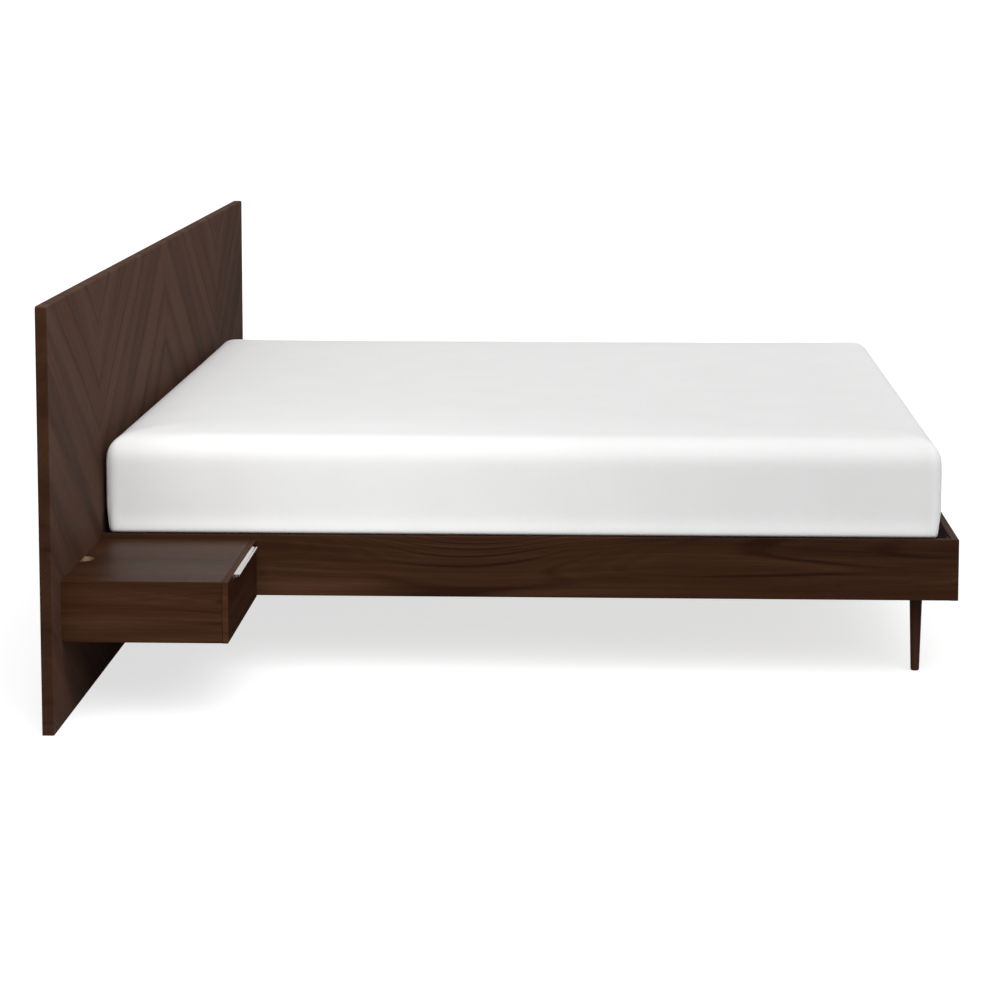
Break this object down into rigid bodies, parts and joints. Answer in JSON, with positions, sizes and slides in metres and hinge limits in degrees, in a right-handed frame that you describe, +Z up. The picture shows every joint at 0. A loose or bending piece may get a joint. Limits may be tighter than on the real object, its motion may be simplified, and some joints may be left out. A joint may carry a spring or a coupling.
{
  "type": "platform bed",
  "caption": "Low platform bed in dark walnut with a wide floor-standing headboard, a mattress in a white fitted sheet and floating nightstands with telescopic drawers.",
  "frame": {"origin": "on the floor, under the centre of the bed's overall box", "axes": "+X across the bed, +Y towards the headboard, +Z up; the left side named in node names is at -X"},
  "size_m": [3.2, 2.094, 0.96],
  "materials": {
    "walnut_veneer": "satin",
    "pale_timber": "matte",
    "drawer_box": "satin",
    "dark_leg": "satin",
    "zinc_steel": "satin",
    "black_steel": "satin",
    "slide_steel": "satin",
    "brushed_aluminium": "satin",
    "glide_plastic": "matte",
    "mattress_cover": "matte",
    "cotton_sheet": "matte"
  },
  "bodies": {
    "root": {"headboard_centre_panel": "walnut_veneer", "headboard_left_wing": "walnut_veneer", "headboard_right_wing": "walnut_veneer", "left_side_rail": "walnut_veneer", "right_side_rail": "walnut_veneer", "foot_rail": "walnut_veneer", "headboard_dowels": "pale_timber", "left_slat_ledger": "dark_leg", "right_slat_ledger": "dark_leg", "slats": "pale_timber", "centre_beam": "pale_timber", "foot_corner_blocks": "dark_leg", "headboard_joining_plates": "zinc_steel", "headboard_plate_screws": "zinc_steel", "beam_hangers": "zinc_steel", "rail_angle_brackets": "black_steel", "frame_screws": "black_steel", "foot_leg_bolts": "zinc_steel", "left_foot_leg": "dark_leg", "right_foot_leg": "dark_leg", "foot_leg_glides": "glide_plastic", "centre_legs": "dark_leg", "centre_leg_glides": "glide_plastic", "mattress": "mattress_cover", "fitted_sheet": "cotton_sheet", "nightstand_left_top": "walnut_veneer", "nightstand_left_bottom": "walnut_veneer", "nightstand_left_inner_side": "walnut_veneer", "nightstand_left_outer_side": "walnut_veneer", "nightstand_left_cleats": "pale_timber", "nightstand_left_screws": "zinc_steel", "nightstand_left_bolts": "zinc_steel", "slide_left_cabinet_members": "slide_steel", "nightstand_right_top": "walnut_veneer", "nightstand_right_bottom": "walnut_veneer", "nightstand_right_inner_side": "walnut_veneer", "nightstand_right_outer_side": "walnut_veneer", "nightstand_right_cleats": "pale_timber", "nightstand_right_screws": "zinc_steel", "nightstand_right_bolts": "zinc_steel", "slide_right_cabinet_members": "slide_steel"},
    "drawer_left": {"drawer_left_front": "walnut_veneer", "drawer_left_sides": "drawer_box", "drawer_left_ends": "drawer_box", "drawer_left_bottom": "drawer_box", "drawer_left_pull": "brushed_aluminium", "drawer_left_screws": "zinc_steel", "slide_left_drawer_members": "slide_steel"},
    "slide_left": {"slide_left_middle_members": "slide_steel"},
    "drawer_right": {"drawer_right_front": "walnut_veneer", "drawer_right_sides": "drawer_box", "drawer_right_ends": "drawer_box", "drawer_right_bottom": "drawer_box", "drawer_right_pull": "brushed_aluminium", "drawer_right_screws": "zinc_steel", "slide_right_drawer_members": "slide_steel"},
    "slide_right": {"slide_right_middle_members": "slide_steel"}
  },
  "joints": [
    {"name": "drawer_left_slide", "type": "slide", "parent": "root", "child": "drawer_left", "axis": [0, -1, 0], "range_m": [0, 0.29]},
    {"name": "slide_left_travel", "type": "slide", "parent": "root", "child": "slide_left", "axis": [0, -1, 0], "range_m": [0, 0.145]},
    {"name": "drawer_right_slide", "type": "slide", "parent": "root", "child": "drawer_right", "axis": [0, -1, 0], "range_m": [0, 0.29]},
    {"name": "slide_right_travel", "type": "slide", "parent": "root", "child": "slide_right", "axis": [0, -1, 0], "range_m": [0, 0.145]}
  ],
  "couplings": [
    {"joint": "slide_left_travel", "follows": "drawer_left_slide", "ratio": 0.5},
    {"joint": "slide_right_travel", "follows": "drawer_right_slide", "ratio": 0.5}
  ]
}
